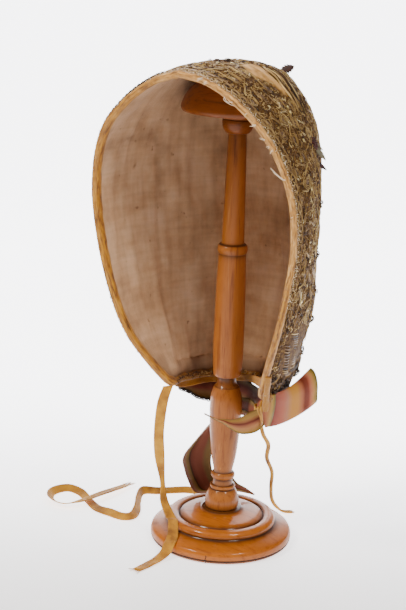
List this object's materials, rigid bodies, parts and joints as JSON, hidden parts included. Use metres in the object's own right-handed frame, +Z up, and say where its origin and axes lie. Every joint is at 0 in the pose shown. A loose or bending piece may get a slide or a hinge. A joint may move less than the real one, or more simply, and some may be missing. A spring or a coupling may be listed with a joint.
{
  "type": "embroidered coif on a turned wooden hat stand",
  "caption": "Close-fitting linen-lined coif covered in couched metal thread, bound at the edge, with tapes and a striped ribbon, resting on a turned wooden mushroom hat stand.",
  "frame": {"origin": "centre of the stand's foot on the table", "axes": "+Z up along the stand; the face opening of the coif looks along -Y; +X is on the right of someone looking into the opening"},
  "size_m": [0.2505, 0.1725, 0.3873],
  "materials": {
    "stand_wood": "varnished turned wood",
    "metal_thread_cloth": "dull couched metal thread",
    "linen": "plain weave, stained",
    "mustard_tape": "matt woven tape",
    "dark_leaf": "stiffened cloth",
    "striped_ribbon": "soft satin ribbon"
  },
  "bodies": {
    "root": {"stand_base": "stand_wood", "stand_stem": "stand_wood", "stand_head": "stand_wood", "coif_shell": "metal_thread_cloth", "coif_lining": "linen", "edge_binding": "mustard_tape", "crown_leaf": "dark_leaf", "tie_left": "mustard_tape", "tie_right": "mustard_tape", "tie_nape": "mustard_tape", "nape_band": "striped_ribbon", "ribbon_tail_long": "striped_ribbon", "ribbon_tail_short": "striped_ribbon", "ribbon_loop": "striped_ribbon", "ribbon_knot": "striped_ribbon", "knot_wrap": "mustard_tape"}
  },
  "joints": []
}
